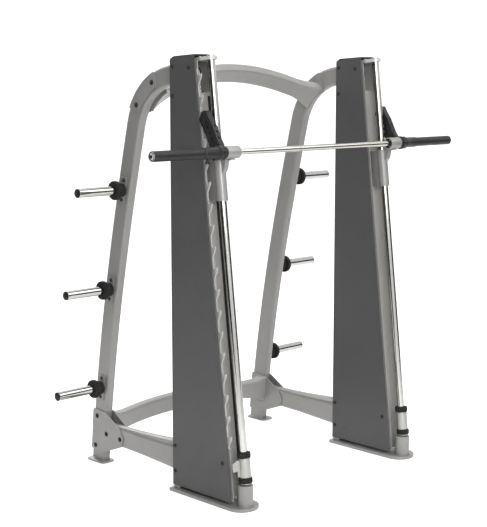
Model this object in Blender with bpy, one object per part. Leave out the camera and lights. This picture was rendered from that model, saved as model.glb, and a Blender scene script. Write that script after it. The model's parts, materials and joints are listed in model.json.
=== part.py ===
"""A smith machine: two leaning counterbalanced towers, a guided bar and a bent-tube rear frame.

Metres, +Z up, +X to the machine's right, -Y to its front. The origin is on the floor, under the
middle of the whole machine.
"""

import math

import bmesh
import bpy
from mathutils import Matrix, Vector

# ---------------------------------------------------------------- driving dimensions
TOWER_REAR_Y = -0.1182         # where the towers' flat rear faces stand
TOWER_X = 0.617                # middle of each tower, out from the machine's middle
TOWER_TOP = 2.212
COVER_HALF = 0.065             # half the tower's width over its covers
COVER_SHEET = 0.003
COVER_BOTTOM = 0.032
COVER_RETURN = 0.030
LEAN = math.radians(6.65)      # how far the guide rods lean back
FRONT_FOOT = 0.4337            # the front line meets the floor this far before the rear faces
GAP = 0.0004                   # between pieces that touch

BASE_HALF = 0.085
BASE_THICK = 0.016
BASE_NOSE_Y = -0.435           # middle of the rounded front end
BASE_REAR_Y = 0.006
POST_Y = -0.464                # round post under the guide rod
POST_RADIUS = 0.0395
POST_TOP = 0.122

ROD_FORWARD = 0.0502           # the guide rod's axis, ahead of the front line
ROD_RADIUS = 0.019
ROD_BOTTOM = 0.1195
ROD_TOP = 2.220
BORE_RADIUS = 0.0205           # of what slides on the rods
CHANNEL_HALF = 0.044
CHANNEL_SHEET = 0.004
CHANNEL_REAR = -0.055
CHANNEL_BOTTOM = 0.035
CHANNEL_WEB_TOP = 2.05
TOP_PLATE = (2.196, 2.213)

PULLEY_Y = -0.100
PULLEY_Z = 2.115
CABLE_ROUND = 0.045            # radius of the cable's centre line on the pulley
CABLE_RADIUS = 0.003
CABLE_FORWARD = -0.0416        # the front cable's line, ahead of the front line
WEIGHT_SIZE = (0.045, 0.035, 0.260)
WEIGHT_Y = -0.055
WEIGHT_BOTTOM = 0.700

BAR_ALONG = 1.7443             # the bar's axis, along the lean from the floor
BAR_FORWARD = 0.1332
BAR_RADIUS = 0.015
BAR_HALF = 1.117
SLEEVE_RADIUS = 0.025
HOUSING = (1.514, 1.714)
HOUSING_RADIUS = 0.027
BLOCK_RADIUS = 0.031
TAIL_TOP = 1.7115              # of the plate that carries the cable

PITCH = 0.1042                 # spacing of the rack's hooks
POCKET_FORWARD = 0.0105
POCKET_RADIUS = 0.0095
PIN_RADIUS = 0.008
PIN_REACH = 0.2195             # from the bar's axis to the hook pin
PIN_HOOKED = math.radians(33.99)
HOOK_TURN = math.radians(7.5)  # the bar turns this far back from rest to hook in
RACK_X = (0.0445, 0.0525)      # the rack plate, out from the tower's middle
RACK_BASE = -0.035
RACK_ENDS = (0.300, 2.160)
ARM_X = (0.0285, 0.0595)       # over the hook arm's two cheeks, either side of the rack
ARM_SHEET = 0.004
ARM_WEB = 0.0045               # its front web
BLOCK_END = 0.040              # the bearing block's outer end, out from the tower's middle
BLOCK_CLEARANCE = 0.0350       # inner cheek's reach round the bearing block

SLEEVE_ENDS = (0.1552, 0.2479)
STOP_RADIUS = 0.0295
STOP_BUMPER = (0.2485, 0.2820)
STOP_BUMPER_RADIUS = 0.034
TAB_BOTTOM = 0.1903
TAB_TALL = 0.042
TAB_REACH = 0.066
TAB_ROOT = 0.043               # the full-height part ends here, short of the rack
TAB_HALF = 0.0035
TAB_REST = math.radians(14)    # the tab's angle behind straight out, clear of the hooks

UPRIGHT_X = 0.620
UPRIGHT_HALF = 0.025           # half its width, across
UPRIGHT_DEEP = 0.052           # half its depth
BEND_Y = 0.015                 # centre of the top bend, back from the towers' rear faces
BEND_Z = 1.783
BEND_RADIUS = 0.330
BEND_START = math.radians(14)
FOOT_Y = 0.674
FOOT_Z = 0.012
FOOT_LEAN = math.radians(5)

CROSS_HALF_THICK = 0.0275
CROSS_HALF_TALL = 0.050
LOWER_BOW = 0.115              # how far the lower crossmember bows out at its middle
UPPER_RISE = (0.080, 0.128)    # how far back and up the top crossmember's middle stands from its ends
PLATE = 0.005
TUBE_WALL = 0.003
LOWER_CROSS = (0.6135, 0.205)
UPPER_CROSS_RADIUS = 0.295
UPPER_CROSS_ANGLE = math.radians(47)

HORN_HEIGHTS = (("upper", 1.520), ("middle", 0.979), ("lower", 0.424))
HORN_RADIUS = 0.024
HORN_TIP = 0.942
BUMPER_RADIUS = 0.050
BUMPER_X = (0.687, 0.712)

ORIGIN = Vector((0.0, TOWER_REAR_Y, 0.0))
LEAN_ORIGIN = Vector((0.0, TOWER_REAR_Y - FRONT_FOOT, 0.0))
LEAN_TURN = Matrix.Rotation(-LEAN, 4, "X")
SIDES = (("left", -1), ("right", 1))
TOOTH_FRONT = (                # a hook's front, along from its pocket and forward
    (-0.0560, 0.0000),
    (-0.0430, 0.0080),
    (-0.0290, 0.0185),
    (-0.0180, 0.0245),
    (-0.0100, 0.0260),
    (-0.0040, 0.0258),
    (-0.0012, 0.0243),
)
LOWER_PLATE_OUTLINE = (
    (0.598, 0.290, 0.030),
    (0.474, 0.216, 0.030),
    (0.443, 0.164, 0.014),
    (0.464, 0.118, 0.020),
    (0.615, 0.060, 0.012),
    (0.7200, 0.066, 0.008),
    (0.6995, 0.296, 0.008),
)
ARM_OUTLINE = (
    (0.033, -0.006, 0),
    (0.062, -0.022, 0.03),
    (0.135, -0.049, 0.05),
    (0.176, -0.072, 0.03),
    (0.2095, -0.086, 0.012),
    (0.2095, -0.115, 0.014),
    (0.172, -0.139, 0.014),
    (0.069, -0.093, 0.08),
    (0.020, -0.074, 0.03),
    (-0.012, -0.034, 0),
)
ARM_HOLES = ((0.155, -0.096), (0.127, -0.084), (0.098, -0.073), (0.070, -0.061))
ARM_HOLE_RADIUS = 0.0090
WEB_HOLES = (0.074, 0.104, 0.134)  # along the arm, through its front web
WEB_HOLE_RADIUS = 0.006
ARM_HUB = 0.036


# ---------------------------------------------------------------- scene and materials
def clear_scene():
    for obj in list(bpy.data.objects):
        bpy.data.objects.remove(obj, do_unlink=True)


def make_material(name, colour, roughness, metallic):
    material = bpy.data.materials.new(name)
    material.use_nodes = True
    shader = material.node_tree.nodes["Principled BSDF"]
    shader.inputs["Base Color"].default_value = (*colour, 1.0)
    shader.inputs["Roughness"].default_value = roughness
    shader.inputs["Metallic"].default_value = metallic
    material.diffuse_color = (*colour, 1.0)
    return material


def make_materials():
    return {
        "silver_paint": make_material("silver_paint", (0.40, 0.40, 0.39), 0.42, 0.5),
        "dark_paint": make_material("dark_paint", (0.09, 0.09, 0.095), 0.45, 0.2),
        "chrome": make_material("chrome", (0.75, 0.76, 0.77), 0.08, 1.0),
        "bright_steel": make_material("bright_steel", (0.55, 0.55, 0.54), 0.30, 1.0),
        "black_steel": make_material("black_steel", (0.03, 0.03, 0.032), 0.35, 0.4),
        "rubber": make_material("rubber", (0.02, 0.02, 0.02), 0.85, 0.0),
        "cast_iron": make_material("cast_iron", (0.12, 0.12, 0.12), 0.70, 0.6),
        "nylon": make_material("nylon", (0.05, 0.05, 0.05), 0.5, 0.0),
    }


# ---------------------------------------------------------------- mesh helpers
def finish_mesh(name, mesh_data, material):
    """An object from a bmesh, with its faces pointing out and its sharp edges kept."""
    bmesh.ops.recalc_face_normals(mesh_data, faces=mesh_data.faces)
    mesh = bpy.data.meshes.new(name)
    mesh_data.to_mesh(mesh)
    mesh_data.free()
    mesh.shade_smooth()
    mesh.set_sharp_from_angle(angle=math.radians(35))
    mesh.materials.append(material)
    obj = bpy.data.objects.new(name, mesh)
    bpy.context.scene.collection.objects.link(obj)
    return obj


def skin(rings, closed_loop=False):
    """A bmesh skinned over equal rings of points, capped at both ends unless the rings close."""
    shape = bmesh.new()
    rows = [[shape.verts.new(point) for point in ring] for ring in rings]
    count = len(rows[0])
    spans = len(rows) if closed_loop else len(rows) - 1
    for i in range(spans):
        low = rows[i]
        high = rows[(i + 1) % len(rows)]
        for j in range(count):
            shape.faces.new((low[j], low[(j + 1) % count], high[(j + 1) % count], high[j]))
    if not closed_loop:
        shape.faces.new(rows[0])
        shape.faces.new(rows[-1])
    return shape


def prism(outline, low, high):
    """A bmesh of an outline in YZ, extruded along X from low to high."""
    return skin([[(low, y, z) for y, z in outline], [(high, y, z) for y, z in outline]])


def flat_prism(outline, low, high):
    """A bmesh of an outline in XY, extruded along Z from low to high."""
    return skin([[(x, y, low) for x, y in outline], [(x, y, high) for x, y in outline]])


def turned(profile, steps, axis="Z", bored=False):
    """A bmesh turned about an axis from (radius, position) points; a bored profile is a closed loop."""
    rings = []
    for radius, along in profile:
        ring = []
        for k in range(steps):
            angle = math.tau * k / steps
            across = (radius * math.cos(angle), radius * math.sin(angle))
            ring.append((across[0], across[1], along) if axis == "Z" else (along, *across))
        rings.append(ring)
    return skin(rings, closed_loop=bored)


def pipe_profile(outer, inner, low, high, chamfer=0.001):
    """The closed profile of a bored cylinder with chamfered outer edges."""
    return [
        (inner, low),
        (outer - chamfer, low),
        (outer, low + chamfer),
        (outer, high - chamfer),
        (outer - chamfer, high),
        (inner, high),
    ]


def rod_profile(radius, low, high, chamfer=0.001):
    low_end = [(radius - chamfer, low), (radius, low + chamfer)]
    return low_end + [(radius, high - chamfer), (radius - chamfer, high)]


def rounded_box(half_x, half_y, corner, steps=3):
    """Points round a rectangle with round corners, counter-clockwise."""
    points = []
    for quarter, (sx, sy) in enumerate(((1, 1), (-1, 1), (-1, -1), (1, -1))):
        for k in range(steps + 1):
            angle = math.radians(90 * quarter + 90 * k / steps)
            x = sx * (half_x - corner) + corner * math.cos(angle)
            y = sy * (half_y - corner) + corner * math.sin(angle)
            points.append((x, y))
    return points


def filleted(corners, steps=4):
    """An outline from (u, v, radius) corners, each rounded by an arc of its radius."""
    points = []
    for i, (u, v, radius) in enumerate(corners):
        here = Vector((u, v))
        if radius == 0:
            points.append((u, v))
            continue
        before = (Vector(corners[i - 1][:2]) - here).normalized()
        after = (Vector(corners[(i + 1) % len(corners)][:2]) - here).normalized()
        half = before.angle(after) / 2
        reach = radius / math.tan(half)
        centre = here + (before + after).normalized() * radius / math.sin(half)
        start = here + before * reach - centre
        sweep = (here + after * reach - centre).angle_signed(start)
        for k in range(steps + 1):
            arm = Matrix.Rotation(sweep * k / steps, 2) @ start
            points.append((centre.x + arm.x, centre.y + arm.y))
    return points


def arc(centre, radius, start, end, steps):
    """Points on an arc, with angles in degrees."""
    points = []
    for k in range(steps + 1):
        angle = math.radians(start + (end - start) * k / steps)
        points.append((centre[0] + radius * math.cos(angle), centre[1] + radius * math.sin(angle)))
    return points


def combine(obj, others, operation):
    """Applies Boolean operations of the other objects to obj; they stay as hidden cutters."""
    for other in others:
        other.hide_render = True
        other.display_type = "WIRE"
        other.parent = obj
        other.matrix_parent_inverse = obj.matrix_basis.inverted()
        modifier = obj.modifiers.new(operation.lower(), "BOOLEAN")
        modifier.operation = operation
        modifier.object = other
    return obj


def place(obj, matrix):
    obj.matrix_world = matrix
    return obj


def tower_matrix(side):
    """The upright frame of one tower: origin on the floor at its rear face, X pointing outboard."""
    return Matrix.Translation(ORIGIN + Vector((side * TOWER_X, 0, 0))) @ Matrix.Diagonal((side, 1, 1, 1))


def lean_matrix(side, along=0.0, forward=0.0):
    """The leaning frame of one tower: Z runs up the lean, -Y forward, X outboard."""
    base = Matrix.Translation(LEAN_ORIGIN + Vector((side * TOWER_X, 0, 0))) @ LEAN_TURN
    return base @ Matrix.Translation((0, -forward, along)) @ Matrix.Diagonal((side, 1, 1, 1))


class Maker:
    """Makes one object in a side's frame, with the mirroring worked into its mesh."""

    def __init__(self, materials):
        self.materials = materials

    def make(self, name, shape, material, matrix):
        """Puts a bmesh at a matrix; a mirroring matrix is applied to the mesh instead of the object."""
        turn = matrix
        if matrix.determinant() < 0:
            flip = Matrix.Diagonal((-1, 1, 1, 1))
            bmesh.ops.transform(shape, matrix=flip, verts=shape.verts)
            turn = matrix @ flip
        obj = finish_mesh(name, shape, self.materials[material])
        return place(obj, turn)


# ---------------------------------------------------------------- shapes of the frame
def upright_path():
    """(y, z, tilt from vertical) down the middle of an upright, from its foot to the tower."""
    start = Vector((FOOT_Y, FOOT_Z))
    end_angle = BEND_START
    end = Vector((BEND_Y + BEND_RADIUS * math.cos(end_angle), BEND_Z + BEND_RADIUS * math.sin(end_angle)))
    length = (end - start).length
    leave = Vector((-math.sin(FOOT_LEAN), math.cos(FOOT_LEAN))) * length
    arrive = Vector((-math.sin(end_angle), math.cos(end_angle))) * length
    path = []
    for k in range(13):
        t = k / 12
        point = (
            start * (2 * t**3 - 3 * t**2 + 1)
            + leave * (t**3 - 2 * t**2 + t)
            + end * (3 * t**2 - 2 * t**3)
            + arrive * (t**3 - t**2)
        )
        slope = (
            start * (6 * t**2 - 6 * t)
            + leave * (3 * t**2 - 4 * t + 1)
            + end * (6 * t - 6 * t**2)
            + arrive * (3 * t**2 - 2 * t)
        )
        path.append((point.x, point.y, math.atan2(-slope.x, slope.y)))
    for k in range(1, 13):
        angle = end_angle + (math.pi / 2 - end_angle) * k / 12
        path.append((BEND_Y + BEND_RADIUS * math.cos(angle), BEND_Z + BEND_RADIUS * math.sin(angle), angle))
    path.append((GAP, BEND_Z + BEND_RADIUS, math.pi / 2))
    return path


def upright_at(height):
    """(y, tilt) of an upright's middle at a height below its bend."""
    path = upright_path()
    for low, high in zip(path, path[1:]):
        if low[1] <= height <= high[1]:
            share = (height - low[1]) / (high[1] - low[1])
            return low[0] + share * (high[0] - low[0]), low[2] + share * (high[2] - low[2])
    raise ValueError("no upright at this height")


def swept(path, half_x, half_deep, corner):
    """Rings of a box section along an upright's path."""
    middle = UPRIGHT_X - TOWER_X
    section = rounded_box(half_x, half_deep, corner, 2)
    rings = []
    for y, z, tilt in path:
        rings.append([(middle + x, y + d * math.cos(tilt), z + d * math.sin(tilt)) for x, d in section])
    return rings


def upright_shape():
    """A hollow tube on a foot pad, open only at its top end, against the tower."""
    middle = UPRIGHT_X - TOWER_X
    pad = rounded_box(0.045, 0.075, 0.02, 2)
    foot = [[(middle + 0.008 + x, FOOT_Y - 0.004 + y, height) for x, y in pad] for height in (0.0, 0.009)]
    path = upright_path()
    outer = swept(path, UPRIGHT_HALF, UPRIGHT_DEEP, 0.012)
    inner = swept(path[1::2], UPRIGHT_HALF - TUBE_WALL, UPRIGHT_DEEP - TUBE_WALL, 0.009)
    return skin(foot + outer + inner[::-1])


def side_tube_shape():
    """The hollow tube from the upright's front face to the tower, growing toward the tower."""
    upright = UPRIGHT_X - TOWER_X
    stations = (
        (None, 0.172, 0.056, 0.0246, 0.014),
        (0.430, 0.172, 0.057, 0.0246, 0.016),
        (0.300, 0.171, 0.061, 0.0300, 0.022),
        (0.100, 0.170, 0.073, 0.0385, 0.031),
        (GAP, 0.170, 0.080, 0.0425, 0.035),
    )
    outer = []
    inner = []
    for y, middle, tall, wide, corner in stations:
        share = 0.0 if y is None else (0.430 - y) / 0.430
        centre = upright * (1 - share)
        for rings, wall in ((outer, 0.0), (inner, TUBE_WALL)):
            ring = []
            for x, z in rounded_box(wide - wall, tall - wall, corner - wall):
                height = middle + z
                face, tilt = upright_at(height)
                along = face - UPRIGHT_DEEP / math.cos(tilt) - GAP if y is None else y
                ring.append((centre + x, along, height))
            rings.append(ring)
    return skin(outer + inner[::-1], closed_loop=True)


def cross_rings(end, along, out, bow, wall, reach):
    """Rings of a bowed crossmember, from its ends' middle, its section's two directions and its bow."""
    span = UPRIGHT_X - UPRIGHT_HALF - GAP
    rings = []
    steps = 20
    for k in range(steps + 1):
        x = reach * (2 * k / steps - 1)
        share = x / span
        slope = 2 * Vector(bow).length * abs(share) / span
        flare = max(0.0, (abs(x) - (span - 0.13)) / 0.13)
        tall = CROSS_HALF_TALL + 0.035 * flare**2 - wall
        thick = CROSS_HALF_THICK * math.hypot(1, slope) - wall
        ring = []
        for u, v in rounded_box(tall, thick, 0.012 - wall):
            spot = Vector(end) + Vector(along) * u + Vector(out) * v + Vector(bow) * (1 - share**2)
            ring.append((x, spot.x, spot.y))
        rings.append(ring)
    return rings


def upper_plate_outline(inner, start):
    """Round a plate that follows the upright's top bend, down to an inner radius, from a start angle."""
    middle = (BEND_Y, BEND_Z)
    outer = BEND_RADIUS + UPRIGHT_DEEP - 0.003
    return arc(middle, outer, start, 67, 8) + arc(middle, inner, 66, start + 1, 8)


def rack_outline():
    """(along, forward) round the hook rack: pockets facing up, each behind a small lip."""
    points = [(RACK_ENDS[0], RACK_BASE), (RACK_ENDS[0], 0.0)]
    first = BAR_ALONG + PIN_REACH * math.cos(PIN_HOOKED)
    lowest = math.ceil((RACK_ENDS[0] + 0.06 - first) / PITCH)
    highest = math.floor((RACK_ENDS[1] - 0.02 - first) / PITCH)
    for k in range(lowest, highest + 1):
        pocket = first + k * PITCH
        points += [(pocket + s, f) for s, f in TOOTH_FRONT]
        start = math.asin(-0.0042 / POCKET_RADIUS)
        for step in range(7):
            angle = start - (math.pi + start) * step / 6
            along = pocket + POCKET_RADIUS * math.sin(angle)
            points.append((along, POCKET_FORWARD + POCKET_RADIUS * math.cos(angle)))
        points.append((pocket + 0.006, 0.0))
    points.append((RACK_ENDS[1], 0.0))
    points.append((RACK_ENDS[1], RACK_BASE))
    return points


def leaning(points, along=0.0, forward=0.0):
    """(along, forward) points as YZ points of the leaning frame, about an origin in it."""
    return [(forward - f, s - along) for s, f in points]


def channel_section():
    half = CHANNEL_HALF
    inner = CHANNEL_HALF - CHANNEL_SHEET
    front = 0.002
    rear = -CHANNEL_REAR
    return [
        (-half, rear),
        (-half, front),
        (-inner, front),
        (-inner, rear - CHANNEL_SHEET),
        (inner, rear - CHANNEL_SHEET),
        (inner, front),
        (half, front),
        (half, rear),
    ]


def rear_post_section():
    half = COVER_HALF - COVER_SHEET - 0.0005
    inner = half - 0.0035
    rear = -COVER_SHEET - 0.0005
    return [
        (-half, rear),
        (-half, -0.050),
        (-inner, -0.050),
        (-inner, rear - 0.0037),
        (inner, rear - 0.0037),
        (inner, -0.050),
        (half, -0.050),
        (half, rear),
    ]


def cover_outline():
    top_front = -FRONT_FOOT + TOWER_TOP * math.tan(LEAN)
    bottom_front = -FRONT_FOOT + COVER_BOTTOM * math.tan(LEAN)
    corners = (
        (0.0, COVER_BOTTOM, 0),
        (bottom_front, COVER_BOTTOM, 0),
        (top_front, TOWER_TOP, 0),
        (0.0, TOWER_TOP - 0.016, 0.014),
    )
    return filleted(corners)


# ---------------------------------------------------------------- one side of the machine
def build_tower(maker, name, side):
    tower = tower_matrix(side)
    lean = lean_matrix(side)

    nose = arc((0.0, BASE_NOSE_Y), 0.088, 195, 345, 12)
    outline = nose + [(BASE_HALF, BASE_REAR_Y), (-BASE_HALF, BASE_REAR_Y)]
    base = maker.make(f"base_plate_{name}", flat_prism(outline, 0.0, BASE_THICK), "silver_paint", tower)
    post = turned(rod_profile(POST_RADIUS, BASE_THICK - 0.002, POST_TOP, 0.002), 24)
    at_post = tower @ Matrix.Translation((0, POST_Y, 0))
    combine(base, [maker.make(f"base_post_{name}", post, "silver_paint", at_post)], "UNION")

    section = flat_prism(rear_post_section(), BASE_THICK + GAP, 2.182)
    maker.make(f"rear_post_{name}", section, "silver_paint", tower)

    channel = flat_prism(channel_section(), CHANNEL_BOTTOM, CHANNEL_WEB_TOP)
    channel = maker.make(f"front_channel_{name}", channel, "silver_paint", lean)
    additions = []
    ear = [(2.04, -0.055), (2.04, -0.002), (2.200, -0.002)]
    ear = leaning(ear + [(2.200, -0.100), (2.180, -0.112), (2.10, -0.112)])
    inner = CHANNEL_HALF - CHANNEL_SHEET
    for label, low, high in (("outer", inner, CHANNEL_HALF), ("inner", -CHANNEL_HALF, -inner)):
        additions.append(maker.make(f"ear_{label}_{name}", prism(ear, low, high), "silver_paint", lean))
    plate = arc((0.0, -ROD_FORWARD), 0.030, 205, 335, 8) + [(0.044, -0.020), (0.044, 0.034)]
    plate += [(-0.044, 0.034), (-0.044, -0.020)]
    plate = flat_prism(plate, *TOP_PLATE)
    additions.append(maker.make(f"top_plate_{name}", plate, "silver_paint", lean))
    combine(channel, additions, "UNION")
    at_rod = lean_matrix(side, forward=ROD_FORWARD)
    hole = turned([(ROD_RADIUS + GAP, 2.1), (ROD_RADIUS + GAP, 2.3)], 24)
    combine(channel, [maker.make(f"rod_hole_{name}", hole, "silver_paint", at_rod)], "DIFFERENCE")

    rack = prism(leaning(rack_outline()), *RACK_X)
    maker.make(f"hook_rack_{name}", rack, "silver_paint", lean)

    for label, low, direction in (("outer", COVER_HALF - COVER_SHEET, 1), ("inner", -COVER_HALF, -1)):
        sheet = prism(cover_outline(), low, low + COVER_SHEET)
        cover = maker.make(f"{label}_cover_{name}", sheet, "dark_paint", tower)
        edge = direction * (COVER_HALF - COVER_SHEET / 2)
        turn_in = direction * (COVER_HALF - COVER_RETURN)
        flange = prism(
            [(-COVER_SHEET, COVER_BOTTOM), (0.0, COVER_BOTTOM), (0.0, 2.180), (-COVER_SHEET, 2.180)],
            min(edge, turn_in),
            max(edge, turn_in),
        )
        combine(cover, [maker.make(f"return_{label}_{name}", flange, "dark_paint", tower)], "UNION")

    front = -FRONT_FOOT + 2.2 * math.tan(LEAN)
    cap = [(-0.004, 2.188), (front, 2.203), (front, 2.2145), (-0.030, 2.206), (-0.012, 2.201)]
    maker.make(f"top_cap_{name}", prism(cap, -0.0615, 0.0615), "nylon", tower)

    rod = turned(rod_profile(ROD_RADIUS, ROD_BOTTOM, ROD_TOP, 0.0015), 24)
    maker.make(f"guide_rod_{name}", rod, "chrome", at_rod)


def build_counterbalance(maker, name, side):
    tower = tower_matrix(side)
    half_x, half_y, tall = WEIGHT_SIZE
    at_weight = tower @ Matrix.Translation((0, WEIGHT_Y, WEIGHT_BOTTOM))
    section = rounded_box(half_x, half_y, 0.006, 2)
    small = rounded_box(half_x - 0.003, half_y - 0.003, 0.004, 2)
    levels = ((small, 0.0), (section, 0.003), (section, tall - 0.003), (small, tall))
    block = skin([[(x, y, z) for x, y in outline] for outline, z in levels])
    maker.make(f"counterweight_{name}", block, "cast_iron", at_weight)

    at_pulley = tower @ Matrix.Translation((0, PULLEY_Y, PULLEY_Z))
    groove = CABLE_ROUND - CABLE_RADIUS - GAP
    wheel = [
        (0.006, -0.0395),
        (0.006, -0.012),
        (0.014, -0.012),
        (0.014, -0.009),
        (0.050, -0.009),
        (groove, -0.0035),
        (groove, 0.0035),
        (0.050, 0.009),
        (0.014, 0.009),
        (0.014, 0.012),
        (0.006, 0.012),
        (0.006, 0.0395),
    ]
    maker.make(f"pulley_{name}", turned(wheel, 24, "X"), "nylon", at_pulley)

    at_rear_cable = tower @ Matrix.Translation((0, PULLEY_Y + CABLE_ROUND, 0))
    rear_run = turned([(CABLE_RADIUS, WEIGHT_BOTTOM + tall + GAP), (CABLE_RADIUS, PULLEY_Z)], 8)
    maker.make(f"cable_rear_{name}", rear_run, "bright_steel", at_rear_cable)
    pulley_along = (PULLEY_Y + FRONT_FOOT) * math.sin(LEAN) + PULLEY_Z * math.cos(LEAN)
    at_front_cable = lean_matrix(side, forward=CABLE_FORWARD)
    front_run = turned([(CABLE_RADIUS, TAIL_TOP + GAP), (CABLE_RADIUS, pulley_along)], 8)
    maker.make(f"cable_front_{name}", front_run, "bright_steel", at_front_cable)


def build_stop(maker, name, side):
    at_stop = lean_matrix(side, SLEEVE_ENDS[0], ROD_FORWARD)
    tall = SLEEVE_ENDS[1] - SLEEVE_ENDS[0]
    sleeve = turned(pipe_profile(STOP_RADIUS, BORE_RADIUS, 0.0, tall), 24, bored=True)
    sleeve = maker.make(f"stop_sleeve_{name}", sleeve, "bright_steel", at_stop)
    low = TAB_BOTTOM - SLEEVE_ENDS[0]
    tab = [
        (0.0250, 0.006),
        (TAB_ROOT, 0.006),
        (TAB_ROOT, low),
        (TAB_REACH, low),
        (TAB_REACH, low + TAB_TALL),
        (TAB_ROOT, low + TAB_TALL + 0.012),
        (TAB_ROOT - 0.006, tall - 0.004),
        (0.0250, tall - 0.004),
    ]
    tab = skin([[(x, y, z) for x, z in tab] for y in (-TAB_HALF, TAB_HALF)])
    bmesh.ops.rotate(tab, cent=(0, 0, 0), matrix=Matrix.Rotation(TAB_REST, 3, "Z"), verts=tab.verts)
    combine(sleeve, [maker.make(f"stop_tab_{name}", tab, "bright_steel", at_stop)], "UNION")

    at_bumper = lean_matrix(side, STOP_BUMPER[0], ROD_FORWARD)
    ring = pipe_profile(STOP_BUMPER_RADIUS, BORE_RADIUS, 0.0, STOP_BUMPER[1] - STOP_BUMPER[0], 0.004)
    maker.make(f"stop_bumper_{name}", turned(ring, 24, bored=True), "rubber", at_bumper)


def build_carriage(maker, name, side):
    at_housing = lean_matrix(side, HOUSING[0], ROD_FORWARD)
    tall = HOUSING[1] - HOUSING[0]
    housing = turned(rod_profile(HOUSING_RADIUS, 0.0, tall, 0.0015), 24)
    housing = maker.make(f"slide_housing_{name}", housing, "silver_paint", at_housing)
    at_lean = lean_matrix(side)
    cradle = []
    for k in range(11):
        angle = math.radians(160 + 130 * k / 10)
        reach = BLOCK_RADIUS + GAP
        cradle.append((BAR_ALONG + reach * math.sin(angle), BAR_FORWARD + reach * math.cos(angle)))
    for k in range(6):
        angle = math.radians(290 - 60 * k / 5)
        reach = BLOCK_RADIUS + 0.008
        cradle.append((BAR_ALONG + reach * math.sin(angle), BAR_FORWARD + reach * math.cos(angle)))
    cradle += [(1.668, 0.094), (1.650, 0.078), (1.650, 0.060), (1.7135, 0.060), (1.7480, 0.088)]
    saddle = maker.make(f"saddle_{name}", prism(leaning(cradle), -0.013, 0.013), "silver_paint", at_lean)
    tail = [(1.516, 0.040), (TAIL_TOP, 0.040), (TAIL_TOP, -0.047), (1.560, -0.047), (1.516, -0.020)]
    tail = maker.make(f"tail_{name}", prism(leaning(tail), -0.012, 0.012), "silver_paint", at_lean)
    combine(housing, [saddle, tail], "UNION")
    bore = turned([(BORE_RADIUS, -0.01), (BORE_RADIUS, tall + 0.05)], 24)
    combine(housing, [maker.make(f"housing_bore_{name}", bore, "chrome", at_housing)], "DIFFERENCE")

    at_bar = lean_matrix(side, BAR_ALONG, BAR_FORWARD)
    block = pipe_profile(BLOCK_RADIUS, BAR_RADIUS + 0.0008, -0.047, BLOCK_END, 0.002)
    maker.make(f"bearing_block_{name}", turned(block, 24, "X", bored=True), "silver_paint", at_bar)


def build_bar_end(maker, name, side):
    at_bar = lean_matrix(side, BAR_ALONG, BAR_FORWARD)
    outline = filleted(ARM_OUTLINE, 3)
    arm = maker.make(f"hook_arm_{name}", prism(leaning(outline), *ARM_X), "black_steel", at_bar)
    front = [(s, f - ARM_WEB) for s, f in outline if s > ARM_HUB and f > -0.088]
    hollow = [(0.0, -0.25), (0.0, front[0][1] + 0.02)] + front
    hollow += [(0.25, front[-1][1] - 0.02), (0.25, -0.25)]
    hollow = prism(leaning(hollow), ARM_X[0] + ARM_SHEET, ARM_X[1] - ARM_SHEET)
    around = turned([(BLOCK_CLEARANCE, 0.0), (BLOCK_CLEARANCE, BLOCK_END + GAP)], 24, "X")
    cuts = [
        maker.make(f"arm_hollow_{name}", hollow, "black_steel", at_bar),
        maker.make(f"arm_clearance_{name}", around, "black_steel", at_bar),
    ]
    combine(arm, cuts, "DIFFERENCE")
    hub = turned(rod_profile(ARM_HUB, ARM_X[1] - ARM_SHEET, ARM_X[1], 0.0005), 24, "X")
    collar = turned(rod_profile(BLOCK_RADIUS, BLOCK_END + GAP, ARM_X[1] - 0.001, 0.001), 24, "X")
    rest = PIN_HOOKED - HOOK_TURN
    pin = turned(rod_profile(PIN_RADIUS, ARM_X[0] + 0.001, ARM_X[1] - 0.001, 0.001), 16, "X")
    for vert in pin.verts:
        vert.co += Vector((0, PIN_REACH * math.sin(rest), PIN_REACH * math.cos(rest)))
    additions = []
    for label, shape in (("hub", hub), ("collar", collar), ("pin", pin)):
        additions.append(maker.make(f"arm_{label}_{name}", shape, "black_steel", at_bar))
    combine(arm, additions, "UNION")
    cuts = []
    spots = [(0.0, 0.0, BAR_RADIUS + GAP, 24)]
    spots += [(s, f, ARM_HOLE_RADIUS, 16) for s, f in ARM_HOLES]
    for number, (s, f, radius, steps) in enumerate(spots):
        hole = turned([(radius, 0.020), (radius, 0.070)], steps, "X")
        for vert in hole.verts:
            vert.co += Vector((0, -f, s))
        cuts.append(maker.make(f"arm_hole_{number}_{name}", hole, "black_steel", at_bar))
    for s in WEB_HOLES:
        hole = turned([(WEB_HOLE_RADIUS, -0.15), (WEB_HOLE_RADIUS, 0.0)], 12)
        for vert in hole.verts:
            x, y, z = vert.co
            vert.co = (x + (ARM_X[0] + ARM_X[1]) / 2, -z, y + s)
        cuts.append(maker.make(f"web_hole_{round(1000 * s)}_{name}", hole, "black_steel", at_bar))
    combine(arm, cuts, "DIFFERENCE")

    start = ARM_X[1] + GAP
    tip = BAR_HALF - TOWER_X - 0.004
    bore = BAR_RADIUS + GAP
    sleeve = [
        (bore, start),
        (0.034, start),
        (0.034, 0.089),
        (0.028, 0.091),
        (0.028, 0.182),
        (SLEEVE_RADIUS, 0.183),
        (SLEEVE_RADIUS, tip - 0.003),
        (SLEEVE_RADIUS - 0.003, tip),
        (bore, tip),
    ]
    maker.make(f"weight_sleeve_{name}", turned(sleeve, 24, "X", bored=True), "black_steel", at_bar)


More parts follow.
